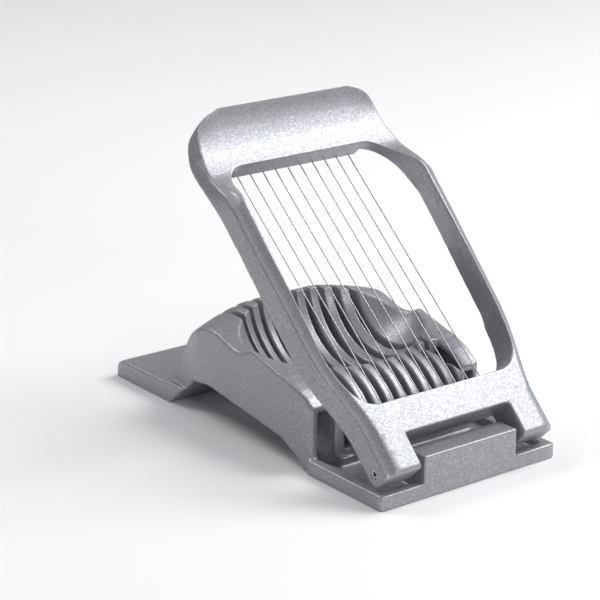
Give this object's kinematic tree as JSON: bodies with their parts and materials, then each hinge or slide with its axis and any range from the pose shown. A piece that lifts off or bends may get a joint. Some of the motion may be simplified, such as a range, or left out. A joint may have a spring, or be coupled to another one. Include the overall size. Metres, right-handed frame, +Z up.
{
  "type": "egg slicer",
  "caption": "hinged kitchen slicer: a slotted base with an oval cradle, and a frame strung with parallel wires that swings down through the slots on a pin hinge",
  "frame": {"origin": "on the table, straight below the middle of the hinge axis", "axes": "+Z up, +Y from the hinge end to the rear tab, +X along the hinge axis"},
  "size_m": [0.091, 0.1631, 0.1172],
  "materials": {
    "cast_metal": "satin silver metallic paint",
    "wire_steel": "drawn wire",
    "fixing_steel": "plain"
  },
  "bodies": {
    "base": {"base_casting": "cast_metal"},
    "cutting_frame": {"frame_casting": "cast_metal", "wire_01": "wire_steel", "wire_02": "wire_steel", "wire_03": "wire_steel", "wire_04": "wire_steel", "wire_05": "wire_steel", "wire_06": "wire_steel", "wire_07": "wire_steel", "wire_08": "wire_steel", "wire_09": "wire_steel", "wire_10": "wire_steel", "hinge_pin_left": "fixing_steel", "hinge_pin_right": "fixing_steel", "top_wire_clamp": "fixing_steel", "bottom_wire_clamp": "fixing_steel", "top_clamp_screws": "fixing_steel", "bottom_clamp_screws": "fixing_steel"}
  },
  "joints": [
    {"name": "frame_hinge", "type": "hinge", "parent": "base", "child": "cutting_frame", "pos_m": [0, 0, 0.0114], "axis": [1, 0, 0], "range_deg": [-39.2, 52]}
  ]
}
